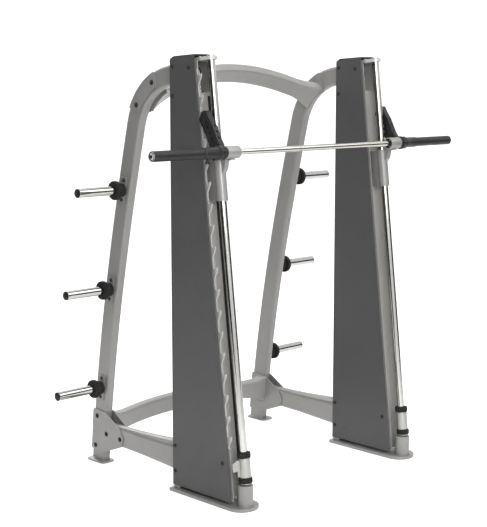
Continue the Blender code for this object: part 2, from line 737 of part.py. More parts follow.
def build_rear(maker, name, side):
    tower = tower_matrix(side)
    maker.make(f"upright_{name}", upright_shape(), "silver_paint", tower)
    maker.make(f"side_tube_{name}", side_tube_shape(), "silver_paint", tower)
    face = UPRIGHT_X + UPRIGHT_HALF - TOWER_X + GAP
    lower = prism(filleted(LOWER_PLATE_OUTLINE), face, face + PLATE)
    maker.make(f"lower_joint_plate_{name}", lower, "silver_paint", tower)
    upper = prism(upper_plate_outline(BEND_RADIUS - 0.030, 26), face, face + PLATE)
    maker.make(f"upper_joint_plate_{name}", upper, "silver_paint", tower)
    for label, height in HORN_HEIGHTS:
        y, tilt = upright_at(height)
        at_horn = tower @ Matrix.Translation((0, y, height)) @ Matrix.Rotation(tilt, 4, "X")
        section = rounded_box(UPRIGHT_HALF - 0.001, 0.070, 0.008)
        plate = skin([[(x, u, v) for u, v in section] for x in (face, face + PLATE)])
        horn = maker.make(f"horn_{label}_{name}", plate, "chrome", at_horn)
        tube = turned(rod_profile(HORN_RADIUS, face + 0.001, HORN_TIP - TOWER_X, 0.002), 24, "X")
        combine(horn, [maker.make(f"horn_tube_{label}_{name}", tube, "chrome", at_horn)], "UNION")
        low, high = BUMPER_X
        ring = pipe_profile(BUMPER_RADIUS, HORN_RADIUS + GAP, low - TOWER_X, high - TOWER_X, 0.004)
        maker.make(f"bumper_{label}_{name}", turned(ring, 24, "X", bored=True), "rubber", at_horn)


# ---------------------------------------------------------------- what joins the sides
def build_crossmember(maker, name, end, along, out, bow, outline):
    """A hollow bowed tube with a plate at each end, drained through a hole against each upright."""
    place_at = Matrix.Translation(ORIGIN)
    high = UPRIGHT_X - UPRIGHT_HALF - GAP
    outer = cross_rings(end, along, out, bow, 0.0, high - PLATE / 2)
    cross = maker.make(name, skin(outer), "silver_paint", place_at)
    ends = []
    for label, side in SIDES:
        near = side * (high - PLATE)
        far = side * high
        plate = prism(outline, min(near, far), max(near, far))
        ends.append(maker.make(f"{name}_end_{label}", plate, "silver_paint", place_at))
    combine(cross, ends, "UNION")
    core = skin(cross_rings(end, along, out, bow, TUBE_WALL, high - PLATE - 0.0005))
    cuts = [maker.make(f"{name}_core", core, "silver_paint", place_at)]
    spot = Vector(end) + Vector(out) * 0.012
    for label, side in SIDES:
        drain = turned([(0.007, side * (high - 0.02)), (0.007, side * (high + 0.01))], 12, "X")
        for vert in drain.verts:
            vert.co += Vector((0, spot.x, spot.y))
        cuts.append(maker.make(f"{name}_drain_{label}", drain, "silver_paint", place_at))
    combine(cross, cuts, "DIFFERENCE")


def build_joining_pieces(maker):
    tilt = upright_at(LOWER_CROSS[1])[1]
    along = (-math.sin(tilt), math.cos(tilt))
    out = (math.cos(tilt), math.sin(tilt))
    bow = (LOWER_BOW * out[0], LOWER_BOW * out[1])
    outline = filleted(LOWER_PLATE_OUTLINE)
    build_crossmember(maker, "lower_crossmember", LOWER_CROSS, along, out, bow, outline)

    angle = UPPER_CROSS_ANGLE
    out = (math.cos(angle), math.sin(angle))
    along = (-math.sin(angle), math.cos(angle))
    end = (BEND_Y + UPPER_CROSS_RADIUS * out[0], BEND_Z + UPPER_CROSS_RADIUS * out[1])
    outline = upper_plate_outline(BEND_RADIUS - 0.066, 33)
    build_crossmember(maker, "top_crossmember", end, along, out, UPPER_RISE, outline)

    at_bar = Matrix.Translation(LEAN_ORIGIN) @ LEAN_TURN @ Matrix.Translation((0, -BAR_FORWARD, BAR_ALONG))
    shaft = turned(rod_profile(BAR_RADIUS, -BAR_HALF, BAR_HALF, 0.002), 24, "X")
    maker.make("bar_shaft", shaft, "chrome", at_bar)


def build_smith_machine():
    clear_scene()
    maker = Maker(make_materials())
    for name, side in SIDES:
        build_tower(maker, name, side)
        build_counterbalance(maker, name, side)
        build_stop(maker, name, side)
        build_carriage(maker, name, side)
        build_bar_end(maker, name, side)
        build_rear(maker, name, side)
    build_joining_pieces(maker)


build_smith_machine()
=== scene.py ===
import json
import math

import bmesh
import bpy
from mathutils import Matrix, Vector


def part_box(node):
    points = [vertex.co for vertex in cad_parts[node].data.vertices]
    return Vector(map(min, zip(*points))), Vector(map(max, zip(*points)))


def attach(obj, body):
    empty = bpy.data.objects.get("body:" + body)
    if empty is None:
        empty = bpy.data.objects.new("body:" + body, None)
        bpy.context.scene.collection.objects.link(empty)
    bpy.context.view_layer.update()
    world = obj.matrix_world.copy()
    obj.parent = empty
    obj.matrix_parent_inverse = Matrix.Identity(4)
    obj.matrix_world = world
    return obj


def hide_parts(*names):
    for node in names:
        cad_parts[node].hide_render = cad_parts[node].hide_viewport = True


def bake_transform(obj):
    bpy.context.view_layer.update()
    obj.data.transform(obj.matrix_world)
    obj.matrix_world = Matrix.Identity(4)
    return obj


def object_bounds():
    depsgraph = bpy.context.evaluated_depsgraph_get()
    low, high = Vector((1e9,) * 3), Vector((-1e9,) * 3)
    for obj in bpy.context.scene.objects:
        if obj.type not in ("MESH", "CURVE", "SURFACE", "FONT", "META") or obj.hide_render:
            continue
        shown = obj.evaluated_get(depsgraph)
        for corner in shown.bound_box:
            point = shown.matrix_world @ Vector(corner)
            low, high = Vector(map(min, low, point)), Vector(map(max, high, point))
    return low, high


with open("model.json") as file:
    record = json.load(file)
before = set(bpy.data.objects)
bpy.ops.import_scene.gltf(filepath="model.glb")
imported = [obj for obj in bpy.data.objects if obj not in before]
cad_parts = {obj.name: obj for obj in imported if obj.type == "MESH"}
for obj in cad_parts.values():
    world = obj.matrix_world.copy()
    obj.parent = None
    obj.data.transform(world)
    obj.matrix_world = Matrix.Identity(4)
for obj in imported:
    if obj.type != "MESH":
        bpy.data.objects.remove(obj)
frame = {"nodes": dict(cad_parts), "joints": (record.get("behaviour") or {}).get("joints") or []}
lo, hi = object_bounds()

# A smith machine: two leaning, counterbalanced towers, a bar that slides on two chromed rods, and a rear
# frame of bent tubes with six storage horns. Lengths are in metres, and most of them come from the frame.
CAD_BOX = [list(lo), list(hi)]
MIDDLE = (lo + hi) / 2
SIDES = (("left", -1), ("right", 1))
HORN_LEVELS = ("upper", "middle", "lower")

# The towers lean back: the carriage slides along UP, BACK is square to it, and LEAN is the angle.
CARRIAGE_SLIDE = next(joint for joint in frame["joints"] if joint["name"] == "carriage_slide")
UP = Vector(CARRIAGE_SLIDE["axis"]).normalized()
BACK = Vector((0.0, UP.z, -UP.y))
LEAN = math.atan2(UP.y, UP.z)

# A guide rod starts ROD_BOTTOM up the lean and runs ROD_FORWARD in front of the tower's own leaning line.
ROD_RADIUS = 0.019
ROD_BOTTOM = 0.1195
ROD_FORWARD = 0.0502

# The weld round each tower's post: how far in front of the tower's rear face, how wide and how high.
POST_FORWARD = 0.464
POST_WELD_RADIUS = 0.0408
POST_WELD_LEVEL = 0.0172

# The bend at the top of each upright, behind the tower's rear face, and the angles of the plate's two bolts.
BEND_CENTRE = (0.015, 1.783)
BEND_BOLT_RADIUS = 0.335
BEND_BOLT_ANGLES = (61.4, 32.5)


# ------------------------------------------------------------------ places
def middle_of(node):
    low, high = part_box(node)
    return (low + high) / 2


def reach_of(node):
    """The node's least and greatest distance from the machine's middle plane."""
    low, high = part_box(node)
    return sorted((abs(low.x), abs(high.x)))


def rod_length(name):
    low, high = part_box(f"guide_rod_{name}")
    return (high.z - low.z - 2 * ROD_RADIUS * UP.y) / UP.z


def rod_origin(name):
    """Where the tower's leaning line meets the floor."""
    to_floor = UP * (rod_length(name) / 2 + ROD_BOTTOM)
    return middle_of(f"guide_rod_{name}") - to_floor + BACK * ROD_FORWARD


def frame_matrix(origin, side, across, up):
    """A frame with X outboard on that side of the machine, Y across and Z up."""
    return Matrix((
        (side, across.x, up.x, origin.x),
        (0.0, across.y, up.y, origin.y),
        (0.0, across.z, up.z, origin.z),
        (0.0, 0.0, 0.0, 1.0),
    ))


def upright_matrix(origin, side):
    return frame_matrix(origin, side, Vector((0, 1, 0)), Vector((0, 0, 1)))


def leaning(name, side, along=0.0, forward=0.0, out=0.0):
    """The leaning frame of one tower: X outboard, -Y forward, Z up the lean."""
    base = frame_matrix(rod_origin(name), side, BACK, UP)
    return base @ Matrix.Translation((out, -forward, along))


def tower_frame(name, side):
    """The upright frame of one tower: X outboard, Y back from its rear face, Z up from the floor."""
    outer_low, outer_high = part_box(f"outer_cover_{name}")
    inner_low, inner_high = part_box(f"inner_cover_{name}")
    x = (max(outer_high.x, inner_high.x) + min(outer_low.x, inner_low.x)) / 2
    return upright_matrix(Vector((x, outer_high.y, 0.0)), side)


# ------------------------------------------------------------------ camera, floor and light
def link(obj):
    bpy.context.scene.collection.objects.link(obj)


def plain_material(name, grey, roughness):
    """A flat material for the set, and its shader."""
    material = bpy.data.materials.new(name)
    material.use_nodes = True
    shader = material.node_tree.nodes["Principled BSDF"]
    shader.inputs["Base Color"].default_value = (grey, grey, grey, 1.0)
    shader.inputs["Roughness"].default_value = roughness
    return material, shader


def make_camera():
    """A long lens at head height, out in front and to the left."""
    data = bpy.data.cameras.new("camera")
    data.sensor_width = 36.0
    data.lens = 86.08
    data.clip_start = 0.1
    data.clip_end = 60.0
    camera = bpy.data.objects.new("camera", data)
    camera.location = (-4.811, -4.8342, 2.098)
    camera.rotation_euler = (math.radians(90 - 8.36), 0.0, math.radians(-44.52))
    link(camera)
    bpy.context.scene.camera = camera


def make_floor():
    """A pale floor that curves up into a wall behind, round the whole object."""
    flat = 7.0
    sweep = 2.5
    around = 64
    profile = [(flat - 0.4, 0.0), (flat, 0.0)]
    for k in range(1, 9):
        angle = math.radians(90 * k / 8)
        profile.append((flat + sweep * math.sin(angle), sweep * (1 - math.cos(angle))))
    profile.append((flat + sweep, 14.0))
    shape = bmesh.new()
    rows = []
    for radius, height in profile:
        rows.append([shape.verts.new((x, y, height)) for x, y in circle(radius, around)])
    shape.faces.new(rows[0])
    for low, high in zip(rows, rows[1:]):
        for k in range(around):
            after = (k + 1) % around
            shape.faces.new((low[k], high[k], high[after], low[after]))
    mesh = bpy.data.meshes.new("floor")
    shape.to_mesh(mesh)
    shape.free()
    mesh.shade_smooth()
    floor = bpy.data.objects.new("floor", mesh)
    floor.location.z = CAD_BOX[0][2] - 0.0005
    material, shader = plain_material("floor", 0.86, 0.9)
    shader.inputs["Emission Color"].default_value = (1.0, 1.0, 1.0, 1.0)
    shader.inputs["Emission Strength"].default_value = 0.22
    mesh.materials.append(material)
    link(floor)


def area_light(name, offset, size, power):
    """A rectangular light that stands off from the machine's middle and faces it."""
    data = bpy.data.lights.new(name, "AREA")
    data.shape = "RECTANGLE"
    data.size = size[0]
    data.size_y = size[1]
    data.energy = power
    light = bpy.data.objects.new(name, data)
    light.location = MIDDLE + Vector(offset)
    light.rotation_euler = (-Vector(offset)).to_track_quat("-Z", "Y").to_euler()
    link(light)


def dark_card(name, first, second, low, high):
    """A dark card beside the set, seen only in reflections, that gives bright metal its dark bands."""
    corners = [(*first, low), (*second, low), (*second, high), (*first, high)]
    mesh = bpy.data.meshes.new(name)
    mesh.from_pydata(corners, [], [(0, 1, 2, 3)])
    card = bpy.data.objects.new(name, mesh)
    mesh.materials.append(plain_material(name, 0.015, 1.0)[0])
    card.visible_camera = False
    link(card)


def make_light():
    """A soft, even studio: four large lights, a white surround and three dark cards."""
    world = bpy.data.worlds.new("studio")
    bpy.context.scene.world = world
    world.use_nodes = True
    background = world.node_tree.nodes["Background"]
    background.inputs["Color"].default_value = (1.0, 1.0, 1.0, 1.0)
    background.inputs["Strength"].default_value = 0.75
    area_light("key", (-3.4, -4.8, 2.1), (2.6, 3.0), 250)
    area_light("fill", (3.5, -3.8, 4.4), (3.0, 3.0), 90)
    area_light("top", (0.0, 0.5, 5.0), (5.0, 5.0), 240)
    area_light("rim", (1.0, 5.5, 3.0), (4.0, 3.0), 120)
    dark_card("left_card", (-5.2, -2.2), (-5.2, 5.0), 0.0, 3.2)
    dark_card("far_left_card", (-5.2, 5.0), (-2.4, 5.2), 0.0, 3.2)
    dark_card("right_card", (1.8, -6.0), (6.0, -1.8), 0.2, 2.6)
    bpy.context.scene.view_settings.view_transform = "Standard"
    bpy.context.scene.view_settings.look = "None"
    bpy.context.scene.view_settings.exposure = 0.0


# ------------------------------------------------------------------ materials
def node(tree, kind, **values):
    made = tree.nodes.new(kind)
    for key, value in values.items():
        setattr(made, key, value)
    return made


def scalar(tree, operation, a, b, clamp=False):
    """A maths node over two sockets or numbers."""
    made = node(tree, "ShaderNodeMath", operation=operation, use_clamp=clamp)
    for number, value in enumerate((a, b)):
        if isinstance(value, (int, float)):
            made.inputs[number].default_value = value
        else:
            tree.links.new(value, made.inputs[number])
    return made.outputs[0]


def ranged(tree, value, low, high, to_low, to_high):
    made = node(tree, "ShaderNodeMapRange")
    tree.links.new(value, made.inputs["Value"])
    made.inputs["From Min"].default_value = low
    made.inputs["From Max"].default_value = high
    made.inputs["To Min"].default_value = to_low
    made.inputs["To Max"].default_value = to_high
    return made.outputs["Result"]


def noise(tree, coordinates, scale, detail, stretch=(1, 1, 1)):
    mapping = node(tree, "ShaderNodeMapping")
    mapping.inputs["Scale"].default_value = stretch
    tree.links.new(coordinates, mapping.inputs["Vector"])
    made = node(tree, "ShaderNodeTexNoise")
    made.inputs["Scale"].default_value = scale
    made.inputs["Detail"].default_value = detail
    tree.links.new(mapping.outputs["Vector"], made.inputs["Vector"])
    return made.outputs["Fac"]


def mixed(tree, factor, a, b):
    """A blend of two colours, each a tuple or a socket."""
    made = node(tree, "ShaderNodeMix", data_type="RGBA")
    tree.links.new(factor, made.inputs["Factor"])
    for name, value in (("A", a), ("B", b)):
        socket = next(s for s in made.inputs if s.name == name and s.type == "RGBA")
        if isinstance(value, tuple):
            socket.default_value = (*value, 1.0)
        else:
            tree.links.new(value, socket)
    return next(s for s in made.outputs if s.type == "RGBA")


def edge_mask(tree, gain):
    """1 on worn edges and 0 on flats, from how far a rounded normal turns away from the true one."""
    rounded = node(tree, "ShaderNodeBevel", samples=4)
    rounded.inputs["Radius"].default_value = 0.0022
    geometry = node(tree, "ShaderNodeNewGeometry")
    dot = node(tree, "ShaderNodeVectorMath", operation="DOT_PRODUCT")
    tree.links.new(rounded.outputs["Normal"], dot.inputs[0])
    tree.links.new(geometry.outputs["Normal"], dot.inputs[1])
    turned_away = scalar(tree, "SUBTRACT", 1.0, dot.outputs["Value"])
    return scalar(tree, "MULTIPLY", turned_away, gain, clamp=True)


def shaded(colour, share):
    return tuple(min(1.0, channel * share) for channel in colour)


def surface(name, colour, worn, metallic, roughness, spread, grain, relief, wear,
            stretch=(1, 1, 1), coat=0.0, specular=0.5):
    """A procedural finish: mottled colour, uneven gloss, a fine grain in relief and lightly worn edges."""
    material = bpy.data.materials.new(name)
    material.use_nodes = True
    tree = material.node_tree
    shader = tree.nodes["Principled BSDF"]
    shader.inputs["Coat Weight"].default_value = coat
    shader.inputs["Coat Roughness"].default_value = 0.25
    shader.inputs["Specular IOR Level"].default_value = specular
    shader.inputs["Metallic"].default_value = metallic
    where = node(tree, "ShaderNodeTexCoord").outputs["Object"]
    broad = noise(tree, where, 2.3, 4.0)
    patches = noise(tree, where, 17.0, 5.0)
    fine = noise(tree, where, grain, 2.0, stretch)

    base = mixed(tree, ranged(tree, broad, 0.3, 0.7, 0.0, 1.0), shaded(colour, 0.92), shaded(colour, 1.07))
    base = mixed(tree, ranged(tree, patches, 0.60, 0.80, 0.0, 0.35), base, shaded(colour, 0.80))
    broken = ranged(tree, patches, 0.42, 0.62, 0.15, 1.0)
    edges = scalar(tree, "MULTIPLY", edge_mask(tree, wear), broken, clamp=True)
    base = mixed(tree, edges, base, worn)
    tree.links.new(base, shader.inputs["Base Color"])

    shine = scalar(tree, "ADD", scalar(tree, "MULTIPLY", patches, 0.6), scalar(tree, "MULTIPLY", fine, 0.4))
    gloss = ranged(tree, shine, 0.3, 0.7, roughness - spread, roughness + spread)
    tree.links.new(gloss, shader.inputs["Roughness"])

    bump = node(tree, "ShaderNodeBump")
    bump.inputs["Strength"].default_value = 0.35
    bump.inputs["Distance"].default_value = relief
    height = scalar(tree, "ADD", fine, scalar(tree, "MULTIPLY", patches, 0.25))
    tree.links.new(height, bump.inputs["Height"])
    tree.links.new(bump.outputs["Normal"], shader.inputs["Normal"])
    return material


def make_materials():
    """Every finish of the machine, by name; a stretch draws its grain out along one axis."""
    finishes = (
        {"name": "silver_paint", "colour": (0.200, 0.197, 0.190), "worn": (0.50, 0.49, 0.47),
         "metallic": 0.35, "roughness": 0.42, "spread": 0.07, "grain": 420, "relief": 0.0002, "wear": 2.0,
         "coat": 0.15},
        {"name": "zinc", "colour": (0.38, 0.375, 0.362), "worn": (0.6, 0.6, 0.58), "metallic": 0.45,
         "roughness": 0.40, "spread": 0.08, "grain": 300, "relief": 0.0002, "wear": 2.0},
        {"name": "weld", "colour": (0.20, 0.197, 0.19), "worn": (0.5, 0.49, 0.47), "metallic": 0.4,
         "roughness": 0.45, "spread": 0.1, "grain": 150, "relief": 0.0006, "wear": 2.0},
        {"name": "dark_paint", "colour": (0.039, 0.039, 0.0395), "worn": (0.13, 0.13, 0.13), "metallic": 0.1,
         "roughness": 0.46, "spread": 0.06, "grain": 700, "relief": 0.0002, "wear": 1.5},
        {"name": "chrome", "colour": (0.43, 0.425, 0.41), "worn": (0.8, 0.8, 0.8), "metallic": 1.0,
         "roughness": 0.12, "spread": 0.04, "grain": 300, "relief": 0.00003, "wear": 1.0,
         "stretch": (1, 1, 0.1)},
        {"name": "nickel", "colour": (0.47, 0.46, 0.43), "worn": (0.7, 0.7, 0.7), "metallic": 1.0,
         "roughness": 0.18, "spread": 0.05, "grain": 300, "relief": 0.00005, "wear": 1.0,
         "stretch": (0.1, 1, 1)},
        {"name": "bright_steel", "colour": (0.34, 0.335, 0.32), "worn": (0.7, 0.7, 0.7), "metallic": 0.9,
         "roughness": 0.34, "spread": 0.07, "grain": 260, "relief": 0.0001, "wear": 1.5,
         "stretch": (1, 1, 0.15)},
        {"name": "black_steel", "colour": (0.012, 0.012, 0.0125), "worn": (0.12, 0.12, 0.115),
         "metallic": 0.0, "roughness": 0.42, "spread": 0.07, "grain": 500, "relief": 0.0002, "wear": 2.0,
         "specular": 0.2},
        {"name": "rubber", "colour": (0.009, 0.009, 0.009), "worn": (0.035, 0.035, 0.035), "metallic": 0.0,
         "roughness": 0.75, "spread": 0.08, "grain": 650, "relief": 0.0004, "wear": 1.5, "specular": 0.2},
        {"name": "cast_iron", "colour": (0.10, 0.10, 0.10), "worn": (0.25, 0.25, 0.25), "metallic": 0.5,
         "roughness": 0.62, "spread": 0.1, "grain": 240, "relief": 0.0008, "wear": 2.0},
        {"name": "nylon", "colour": (0.010, 0.010, 0.0105), "worn": (0.05, 0.05, 0.05), "metallic": 0.0,
         "roughness": 0.45, "spread": 0.06, "grain": 500, "relief": 0.0002, "wear": 1.5, "specular": 0.2},
    )
    return {finish["name"]: surface(**finish) for finish in finishes}


# ------------------------------------------------------------------ shapes
def on_circle(centre, radius, degrees):
    angle = math.radians(degrees)
    return (centre[0] + radius * math.cos(angle), centre[1] + radius * math.sin(angle))


def arc(centre, radius, start, end, steps):
    return [on_circle(centre, radius, start + (end - start) * k / steps) for k in range(steps + 1)]


def circle(radius, steps=48):
    turns = [math.tau * k / steps for k in range(steps)]
    return [(radius * math.cos(turn), radius * math.sin(turn)) for turn in turns]


def hexagon(radius, steps=24):
    """A hexagon with extra points along its sides, so that it joins a circle of as many points."""
    points = []
    for k in range(steps):
        angle = math.tau * k / steps
        reach = radius * math.cos(math.pi / 6) / math.cos((angle % (math.pi / 3)) - math.pi / 6)
        points.append((reach * math.cos(angle), reach * math.sin(angle)))
    return points


def ring_profile(outer, inner, low, high, soft=0.001, steps=3):
    """A closed profile of a bored ring with rounded outer edges."""
    round_low = arc((outer - soft, low + soft), soft, -90, 0, steps)
    round_high = arc((outer - soft, high - soft), soft, 0, 90, steps)
    return [(inner, low), *round_low, *round_high, (inner, high)]


# Turns a shape's own Z axis onto the named axis of its frame.
AXES = {
    "X": Matrix(((0, 0, 1, 0), (1, 0, 0, 0), (0, 1, 0, 0), (0, 0, 0, 1))),
    "Z": Matrix.Identity(4),
}


def turned(degrees, axis):
    return Matrix.Rotation(math.radians(degrees), 4, axis)


class Piece:
    """One visible piece, gathered from shapes in a frame of their own, that rides on one body."""

    def __init__(self, name, material, body="frame", slot=None):
        self.name = name
        self.material = material
        self.body = body
        self.slot = slot
        self.shape = bmesh.new()

    def rings(self, rings, matrix, loop=False):
        """Skins equal rings of 3-D points; open skins are capped."""
        rows = [[self.shape.verts.new(matrix @ Vector(p)) for p in ring] for ring in rings]
        count = len(rows[0])
        for i in range(len(rows) if loop else len(rows) - 1):
            low = rows[i]
            high = rows[(i + 1) % len(rows)]
            for j in range(count):
                after = (j + 1) % count
                self.shape.faces.new((low[j], low[after], high[after], high[j]))
        if not loop:
            self.shape.faces.new(rows[0])
            self.shape.faces.new(rows[-1])

    def lathe(self, profile, matrix, axis="Z", loop=False, steps=48):
        """Turns (radius, along) points about an axis of the matrix's frame."""
        rings = [[(x, y, along) for x, y in circle(radius, steps)] for radius, along in profile]
        self.rings(rings, matrix @ AXES[axis], loop)

    def extrude(self, outline, low, high, matrix):
        """Extrudes a (Y, Z) outline along X."""
        self.rings([[(level, u, v) for u, v in outline] for level in (low, high)], matrix)

    def bolt(self, matrix, radius, washer, height):
        """A washer and a button head with a six-sided socket, standing on +Z of the matrix."""
        seat = 0.0012
        if washer:
            rim = [(washer - 0.0004, -0.0004), (washer, 0.0), (washer, 0.0010), (washer - 0.0005, 0.0015)]
            self.lathe(rim, matrix, steps=24)
        rings = []
        for share in (0.0, 0.35, 0.7, 0.92, 1.0):
            dome = radius * math.sqrt(max(0.0, 1 - (share * 0.86) ** 2))
            rings.append([(x, y, seat + height * share) for x, y in circle(dome, 24)])
        top = seat + height
        for level in (top, top - height * 0.55):
            rings.append([(x, y, level) for x, y in hexagon(radius * 0.42)])
        self.rings(rings, matrix)

    def weld_ring(self, matrix, axis, level, radius, thickness, steps):
        """A weld bead round a tube, swelling and thinning as it was laid."""
        rings = []
        for k in range(steps):
            angle = math.tau * k / steps
            swell = thickness * (1 + 0.16 * math.sin(k * 2.1))
            ring = []
            for x, y in circle(swell, 8):
                ring.append(((radius + x) * math.cos(angle), (radius + x) * math.sin(angle), level + y))
            rings.append(ring)
        self.rings(rings, matrix @ AXES[axis], loop=True)

    def emit(self, bevel=0.0, replaces=(), angle=32):
        """Makes the object, hangs it on its body and hides the CAD nodes it stands for."""
        bmesh.ops.recalc_face_normals(self.shape, faces=self.shape.faces)
        mesh = bpy.data.meshes.new(self.name)
        self.shape.to_mesh(mesh)
        self.shape.free()
        mesh.shade_smooth()
        mesh.set_sharp_from_angle(angle=math.radians(angle))
        mesh.materials.append(self.material)
        obj = bpy.data.objects.new(self.name, mesh)
        link(obj)
        if bevel:
            round_edges(obj, bevel)
        if self.body:
            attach(obj, self.body)
        if replaces:
            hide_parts(*replaces)
        return obj


def round_edges(obj, width, weld=False):
    """Rounds the sharp edges; a CAD node is welded first, so that its faces share their corners."""
    if weld:
        obj.modifiers.new("weld", "WELD").merge_threshold = 2e-5
    bevel = obj.modifiers.new("bevel", "BEVEL")
    bevel.width = width
    bevel.segments = 2
    bevel.limit_method = "ANGLE"
    bevel.angle_limit = math.radians(32)
    bevel.use_clamp_overlap = True
    bevel.miter_outer = "MITER_ARC"
    normals = obj.modifiers.new("normals", "WEIGHTED_NORMAL")
    normals.keep_sharp = True
    normals.weight = 60


# ------------------------------------------------------------------ CAD nodes that stay
USUAL_BEVEL = 0.0010
BEVELS = {
    "base_plate": 0.0020,
    "front_channel": 0.0007,
    "hook_rack": 0.0014,
    "inner_cover": 0.0008,
    "lower_joint_plate": 0.0012,
    "outer_cover": 0.0008,
    "slide_housing": 0.0018,
    "top_cap": 0.0020,
    "upper_joint_plate": 0.0012,
    "upright": 0.0020,
}


def dress_cad_nodes(materials):
    """Rounds the edges of every node and gives it its finish; the channels and racks are bare zinc."""
    for name, obj in frame["nodes"].items():
        stem = name.rsplit("_", 1)[0] if name.endswith(("left", "right")) else name
        finish = obj.data.materials[0].name.split(".")[0]
        if stem in ("front_channel", "hook_rack"):
            finish = "zinc"
        for number in range(len(obj.data.materials)):
            obj.data.materials[number] = materials[finish]
        round_edges(obj, BEVELS.get(stem, USUAL_BEVEL), weld=True)


# ------------------------------------------------------------------ pieces
def guide_rods(materials):
    """Each rod with its seat on the post and the rubber buffer above it."""
    for name, side in SIDES:
        here = leaning(name, side, forward=ROD_FORWARD)
        top = ROD_BOTTOM + rod_length(name)
        rod = Piece(f"chrome_rod_{name}", materials["chrome"], "frame", "chrome")
        profile = [(0.004, ROD_BOTTOM), (ROD_RADIUS, ROD_BOTTOM), (ROD_RADIUS, top - 0.002),
                   (ROD_RADIUS - 0.0015, top), (0.006, top)]
        rod.lathe(profile, here, steps=72)
        rod.emit(replaces=(f"guide_rod_{name}",))
        bore = ROD_RADIUS + 0.0002
        seat = Piece(f"rod_seat_{name}", materials["bright_steel"], "frame", "bright_steel")
        seat.lathe(ring_profile(0.0300, bore, 0.1224, 0.1262), here, loop=True)
        seat.emit()
        buffer = Piece(f"rod_buffer_{name}", materials["rubber"], "frame", "rubber")
        buffer.lathe(ring_profile(0.034, bore, 0.1266, 0.1546, 0.005), here, loop=True)
        buffer.emit()


def bar(materials):
    """The polished shaft with its grip rings, and a stepped loading sleeve at each end."""
    low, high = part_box("bar_shaft")
    centre = middle_of("bar_shaft")
    at_bar = Matrix.Translation(centre)
    half = (high.x - low.x) / 2
    radius = (high.z - low.z) / 2
    core = 0.005
    left_end = [(core, 0.002 - half), (radius - 0.003, -half), (radius, 0.003 - half)]
    right_end = [(r, -along) for r, along in reversed(left_end)]
    shaft = Piece("polished_bar", materials["nickel"], "bar", "chrome")
    shaft.lathe(left_end + right_end, at_bar, "X", steps=64)
    shaft.emit(replaces=("bar_shaft",))

    grip = Piece("bar_grip_rings", materials["bright_steel"], "bar", "bright_steel")
    ridge = [(radius - 0.001, -0.001), (radius + 0.00035, -0.0006), (radius + 0.00035, 0.0006),
             (radius - 0.001, 0.001)]
    for mark in (-0.405, -0.135, 0.135, 0.405):
        for k in (-1, 0, 1):
            where = mark + 0.004 * k
            grip.lathe([(r, where + along) for r, along in ridge], at_bar, "X")
    grip.emit()

    for name, side in SIDES:
        at_end = upright_matrix(centre, side)
        start, tip = reach_of(f"weight_sleeve_{name}")
        bore = radius + 0.0004
        sleeve = Piece(f"loading_sleeve_{name}", materials["black_steel"], "bar", "black_steel")
        collar = [(bore, start), (0.0325, start), (0.034, start + 0.0015), (0.034, start + 0.0285),
                  (0.0325, start + 0.030)]
        shoulder = [(0.0285, start + 0.031), (0.028, start + 0.032), (0.028, start + 0.121),
                    (0.0270, start + 0.1225)]
        tube = [(0.025, start + 0.123), (0.025, tip - 0.003), (0.022, tip), (bore, tip)]
        sleeve.lathe(collar + shoulder + tube, at_end, "X", loop=True, steps=64)
        sleeve.emit(replaces=(f"weight_sleeve_{name}",))
        ring = Piece(f"sleeve_end_ring_{name}", materials["bright_steel"], "bar", "bright_steel")
        profile = ring_profile(0.0225, radius + 0.0002, tip - 0.0012, tip + 0.0016, 0.0008)
        ring.lathe(profile, at_end, "X", loop=True)
        ring.emit()


def bearing_blocks(materials):
    """The barrels that hold the bar, each with a black face ring and four screws on its inner end."""
    centre = middle_of("bar_shaft")
    for name, side in SIDES:
        low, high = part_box(f"bearing_block_{name}")
        near, far = reach_of(f"bearing_block_{name}")
        radius = (high.z - low.z) / 2
        at_end = upright_matrix(centre, side)
        barrel = Piece(f"bearing_barrel_{name}", materials["silver_paint"], "carriage", "silver_paint")
        profile = ring_profile(radius, 0.0158, near + 0.0015, far, 0.0022)
        barrel.lathe(profile, at_end, "X", loop=True, steps=64)
        barrel.emit(replaces=(f"bearing_block_{name}",))
        face = Piece(f"bearing_face_{name}", materials["black_steel"], "carriage", "black_steel")
        profile = ring_profile(0.0262, 0.0160, near - 0.0006, near + 0.0022, 0.0008)
        face.lathe(profile, at_end, "X", loop=True)
        face.emit()
        screws = Piece(f"bearing_screws_{name}", materials["bright_steel"], "carriage", "bright_steel")
        for turn in (45, 135, 225, 315):
            y, z = on_circle((0.0, 0.0), 0.0212, turn)
            spot = at_end @ Matrix.Translation((near - 0.0001, y, z)) @ turned(-90, "Y")
            screws.bolt(spot, 0.0026, 0, 0.0016)
        screws.emit()


def stops(materials):
    """The rubber cushion on each safety stop, and the steel flange under it."""
    for name, side in SIDES:
        here = leaning(name, side, 0.2485, ROD_FORWARD)
        body = f"stop_slide_{name}"
        cushion = Piece(f"stop_cushion_{name}", materials["rubber"], body, "rubber")
        cushion.lathe(ring_profile(0.034, 0.0205, 0.0036, 0.0335, 0.007, 5), here, loop=True, steps=64)
        cushion.emit(replaces=(f"stop_bumper_{name}",))
        flange = Piece(f"stop_flange_{name}", materials["bright_steel"], body, "bright_steel")
        flange.lathe(ring_profile(0.0325, 0.0205, 0.0, 0.0034, 0.0008), here, loop=True, steps=64)
        flange.emit()


def horn_frame(level, name, side):
    """A frame on the horn's axis, turned until its plate lies along the upright."""
    low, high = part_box(f"horn_{level}_{name}")
    plate_width = 0.048
    plate_length = 0.140
    tilt = math.asin(max(0.0, min(1.0, (high.y - low.y - plate_width) / plate_length)))
    centre = middle_of(f"bumper_{level}_{name}")
    return upright_matrix(Vector((0.0, centre.y, centre.z)), side) @ Matrix.Rotation(tilt, 4, "X")


